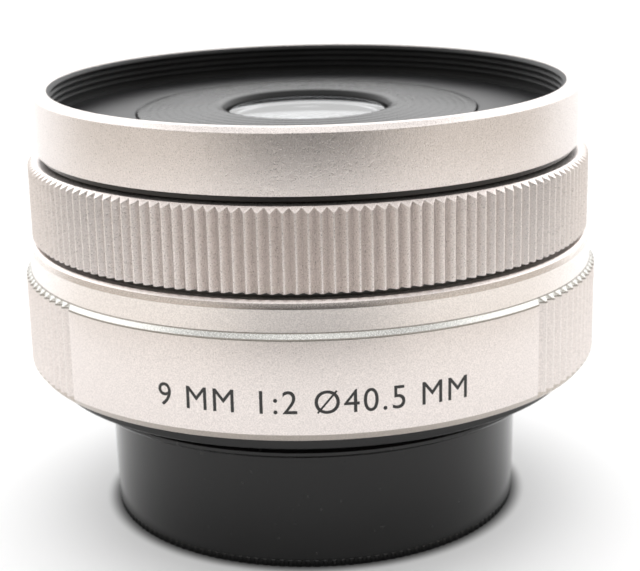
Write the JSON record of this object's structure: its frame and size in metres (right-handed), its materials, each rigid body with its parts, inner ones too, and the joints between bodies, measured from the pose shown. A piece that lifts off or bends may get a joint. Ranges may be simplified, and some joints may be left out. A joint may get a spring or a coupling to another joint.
{
  "type": "prime camera lens",
  "caption": "Compact fixed focal length lens: silver barrel with ribbed focus ring and side grips, threaded front well with a small front element, black rear cap on a bayonet mount.",
  "frame": {"origin": "on the optical axis, in the plane of the mount flange", "axes": "+Z along the optical axis out of the front element; -Y is the side that carries the marking"},
  "size_m": [0.0454, 0.0454, 0.0342],
  "materials": {
    "silver_shell": "sandblasted satin silver, slightly warm",
    "black_anodised": "matt black anodised",
    "black_trim": "satin black anodised, lathe lines",
    "black_plastic": "moulded black polycarbonate",
    "cap_plastic": "satin black moulded cap",
    "mount_steel": "turned stainless steel",
    "steel": "machined steel",
    "gold_contact": "gold flashed",
    "board": "green solder mask over glass epoxy",
    "flex": "amber polyimide film",
    "motor_can": "plated steel can",
    "blade_black": "anti-reflection black",
    "coated_glass": "polished, multi-coated",
    "nd_glass": "neutral grey film"
  },
  "bodies": {
    "barrel": {"front_ring": "silver_shell", "upper_spacer_ring": "black_plastic", "front_baffle": "black_trim", "name_ring": "black_trim", "lower_slide_ring": "black_plastic", "inner_barrel": "black_anodised", "photo_interrupters": "black_plastic", "main_barrel": "silver_shell", "rear_frame": "black_anodised", "mount_plate": "mount_steel", "mount_screws": "steel", "contact_block": "black_plastic", "contact_pins": "gold_contact", "main_board": "board", "flex_cable": "flex", "front_cell": "black_anodised", "lens_1": "coated_glass", "lens_1_retainer": "black_anodised", "lens_2": "coated_glass", "lens_2_retainer": "black_anodised", "front_cell_screws": "steel", "aperture_base_plate": "black_anodised", "aperture_cover_plate": "black_plastic", "aperture_rear_plate": "black_plastic", "aperture_screws": "steel", "iris_motor": "motor_can", "shutter_motor": "motor_can", "nd_motor": "motor_can", "focus_motor": "motor_can", "motor_bracket": "steel", "guide_rods": "steel", "rear_cell": "black_anodised", "lens_6": "coated_glass", "lens_7": "coated_glass", "rear_retainer": "black_anodised", "rear_baffle": "black_plastic"},
    "focus_ring": {"focus_ring": "silver_shell", "encoder_comb": "black_plastic"},
    "lead_screw": {"lead_screw": "steel"},
    "focus_carriage": {"focus_carriage": "black_plastic", "lead_nut": "gold_contact", "lens_3": "coated_glass", "lens_4": "coated_glass", "lens_5": "coated_glass", "focus_retainer": "black_anodised"},
    "iris_ring": {"iris_drive_ring": "blade_black"},
    "iris_arm": {"iris_motor_arm": "blade_black"},
    "iris_blade_1": {"iris_blade_1": "blade_black"},
    "iris_blade_2": {"iris_blade_2": "blade_black"},
    "iris_blade_3": {"iris_blade_3": "blade_black"},
    "iris_blade_4": {"iris_blade_4": "blade_black"},
    "iris_blade_5": {"iris_blade_5": "blade_black"},
    "shutter_arm": {"shutter_motor_arm": "blade_black"},
    "shutter_blade_a": {"shutter_blade_a": "blade_black"},
    "shutter_blade_b": {"shutter_blade_b": "blade_black"},
    "nd_flag": {"nd_flag_arm": "blade_black", "nd_filter": "nd_glass"},
    "rear_cap": {"rear_cap": "cap_plastic"}
  },
  "joints": [
    {"name": "lens_lift_off_cap", "type": "slide", "parent": "rear_cap", "child": "barrel", "axis": [0, 0, 1], "range_m": [0, 0.03]},
    {"name": "focus_ring_turn", "type": "hinge", "parent": "barrel", "child": "focus_ring", "pos_m": [0, 0, 0.0148], "axis": [0, 0, 1], "continuous": true},
    {"name": "lead_screw_turn", "type": "hinge", "parent": "barrel", "child": "lead_screw", "pos_m": [0.01325, 0.00482, 0.009], "axis": [0, 0, 1], "range_deg": [-432, 432]},
    {"name": "focus_travel", "type": "slide", "parent": "barrel", "child": "focus_carriage", "axis": [0, 0, 1], "range_m": [-0.0006, 0.0006]},
    {"name": "iris_close", "type": "hinge", "parent": "barrel", "child": "iris_ring", "pos_m": [0, 0, 0.0137], "axis": [0, 0, -1], "range_deg": [0, 12]},
    {"name": "iris_arm_swing", "type": "hinge", "parent": "barrel", "child": "iris_arm", "pos_m": [-0.01193, -0.00434, 0.0133], "axis": [0, 0, -1], "range_deg": [0, 48]},
    {"name": "iris_blade_1_swing", "type": "hinge", "parent": "barrel", "child": "iris_blade_1", "pos_m": [0.0079, 0, 0.0132], "axis": [0, 0, 1], "range_deg": [0, 26]},
    {"name": "iris_blade_2_swing", "type": "hinge", "parent": "barrel", "child": "iris_blade_2", "pos_m": [0.00244, 0.00751, 0.0132], "axis": [0, 0, 1], "range_deg": [0, 26]},
    {"name": "iris_blade_3_swing", "type": "hinge", "parent": "barrel", "child": "iris_blade_3", "pos_m": [-0.00639, 0.00464, 0.0132], "axis": [0, 0, 1], "range_deg": [0, 26]},
    {"name": "iris_blade_4_swing", "type": "hinge", "parent": "barrel", "child": "iris_blade_4", "pos_m": [-0.00639, -0.00464, 0.0132], "axis": [0, 0, 1], "range_deg": [0, 26]},
    {"name": "iris_blade_5_swing", "type": "hinge", "parent": "barrel", "child": "iris_blade_5", "pos_m": [0.00244, -0.00751, 0.0132], "axis": [0, 0, 1], "range_deg": [0, 26]},
    {"name": "shutter_arm_swing", "type": "hinge", "parent": "barrel", "child": "shutter_arm", "pos_m": [-0.0046, 0.0116, 0.012], "axis": [0, 0, 1], "range_deg": [0, 14]},
    {"name": "shutter_blade_a_swing", "type": "hinge", "parent": "barrel", "child": "shutter_blade_a", "pos_m": [-0.00225, 0.0116, 0.0122], "axis": [0, 0, 1], "range_deg": [0, 28]},
    {"name": "shutter_blade_b_swing", "type": "hinge", "parent": "barrel", "child": "shutter_blade_b", "pos_m": [0.00225, 0.0116, 0.0121], "axis": [0, 0, -1], "range_deg": [0, 28]},
    {"name": "nd_flag_swing", "type": "hinge", "parent": "barrel", "child": "nd_flag", "pos_m": [0, -0.0115, 0.012], "axis": [0, 0, 1], "range_deg": [0, 52]}
  ],
  "couplings": [
    {"joint": "lead_screw_turn", "follows": "focus_travel", "rad_per_m": 12566},
    {"joint": "iris_arm_swing", "follows": "iris_close", "ratio": 4},
    {"joint": "iris_blade_1_swing", "follows": "iris_close", "ratio": 2.1667},
    {"joint": "iris_blade_2_swing", "follows": "iris_close", "ratio": 2.1667},
    {"joint": "iris_blade_3_swing", "follows": "iris_close", "ratio": 2.1667},
    {"joint": "iris_blade_4_swing", "follows": "iris_close", "ratio": 2.1667},
    {"joint": "iris_blade_5_swing", "follows": "iris_close", "ratio": 2.1667},
    {"joint": "shutter_blade_a_swing", "follows": "shutter_arm_swing", "ratio": 2},
    {"joint": "shutter_blade_b_swing", "follows": "shutter_arm_swing", "ratio": 2}
  ]
}
